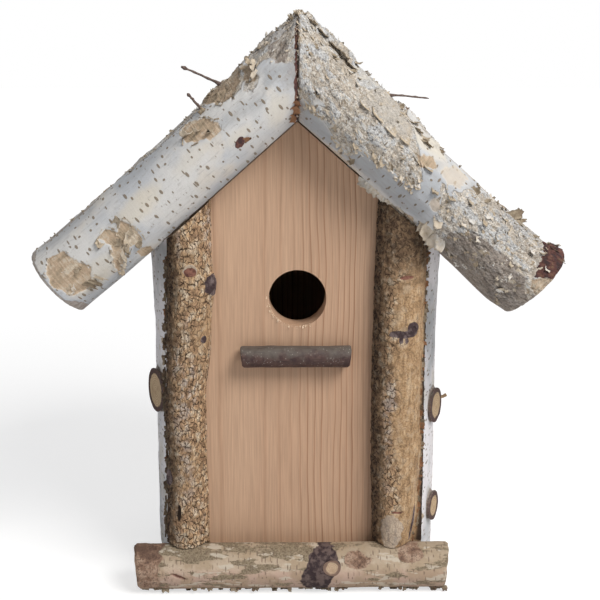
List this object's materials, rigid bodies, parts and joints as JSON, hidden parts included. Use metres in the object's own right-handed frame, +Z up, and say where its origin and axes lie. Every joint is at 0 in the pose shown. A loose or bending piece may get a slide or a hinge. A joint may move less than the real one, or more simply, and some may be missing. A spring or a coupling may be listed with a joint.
{
  "type": "bird nest box",
  "caption": "Gabled bird nest box of pine boards and birch logs, with a round entrance, a perch and a floor hatch that swings down for cleaning.",
  "frame": {"origin": "on the ground, in the middle of the roof's width and depth", "axes": "+X to the right seen from the front, the front looks along -Y, +Z up"},
  "size_m": [0.2863, 0.1851, 0.3197],
  "materials": {
    "pine_board": "planed, unfinished",
    "lining_board": "sawn, unfinished",
    "hatch_board": "planed, unfinished",
    "button_wood": "sanded, unfinished",
    "birch_slab": "white birch bark",
    "birch_log": "white birch bark, flaking",
    "post_bark": "brown cork bark",
    "base_bark": "smooth tan bark",
    "perch_bark": "smooth dark bark",
    "shoot_bark": "dry dark bark",
    "nail_steel": "zinc plated"
  },
  "bodies": {
    "box": {"front_board": "pine_board", "back_board": "pine_board", "left_side_wall": "birch_slab", "right_side_wall": "birch_slab", "left_corner_post": "post_bark", "right_corner_post": "post_bark", "base_log": "base_bark", "perch": "perch_bark", "left_roof_lining": "lining_board", "right_roof_lining": "lining_board", "left_roof_log_1": "birch_log", "left_roof_log_2": "birch_log", "left_roof_log_3": "birch_log", "left_roof_log_4": "birch_log", "right_roof_log_1": "birch_log", "right_roof_log_2": "birch_log", "right_roof_log_3": "birch_log", "right_roof_log_4": "birch_log", "roof_shoots": "shoot_bark", "hatch_nails": "nail_steel", "turn_button_screw": "nail_steel", "front_wall_nails": "nail_steel", "back_wall_nails": "nail_steel", "post_nails": "nail_steel", "base_log_nails": "nail_steel", "perch_nails": "nail_steel", "gable_nails": "nail_steel", "lining_nails": "nail_steel", "eave_nails": "nail_steel"},
    "hatch": {"floor_hatch": "hatch_board"},
    "button": {"turn_button": "button_wood"}
  },
  "joints": [
    {"name": "hatch_hinge", "type": "hinge", "parent": "box", "child": "hatch", "pos_m": [0, 0.067, 0.013], "axis": [1, 0, 0], "range_deg": [0, 80]},
    {"name": "button_turn", "type": "hinge", "parent": "box", "child": "button", "pos_m": [0, -0.054, 0.0032], "axis": [0, 0, 1], "range_deg": [0, 90]}
  ]
}
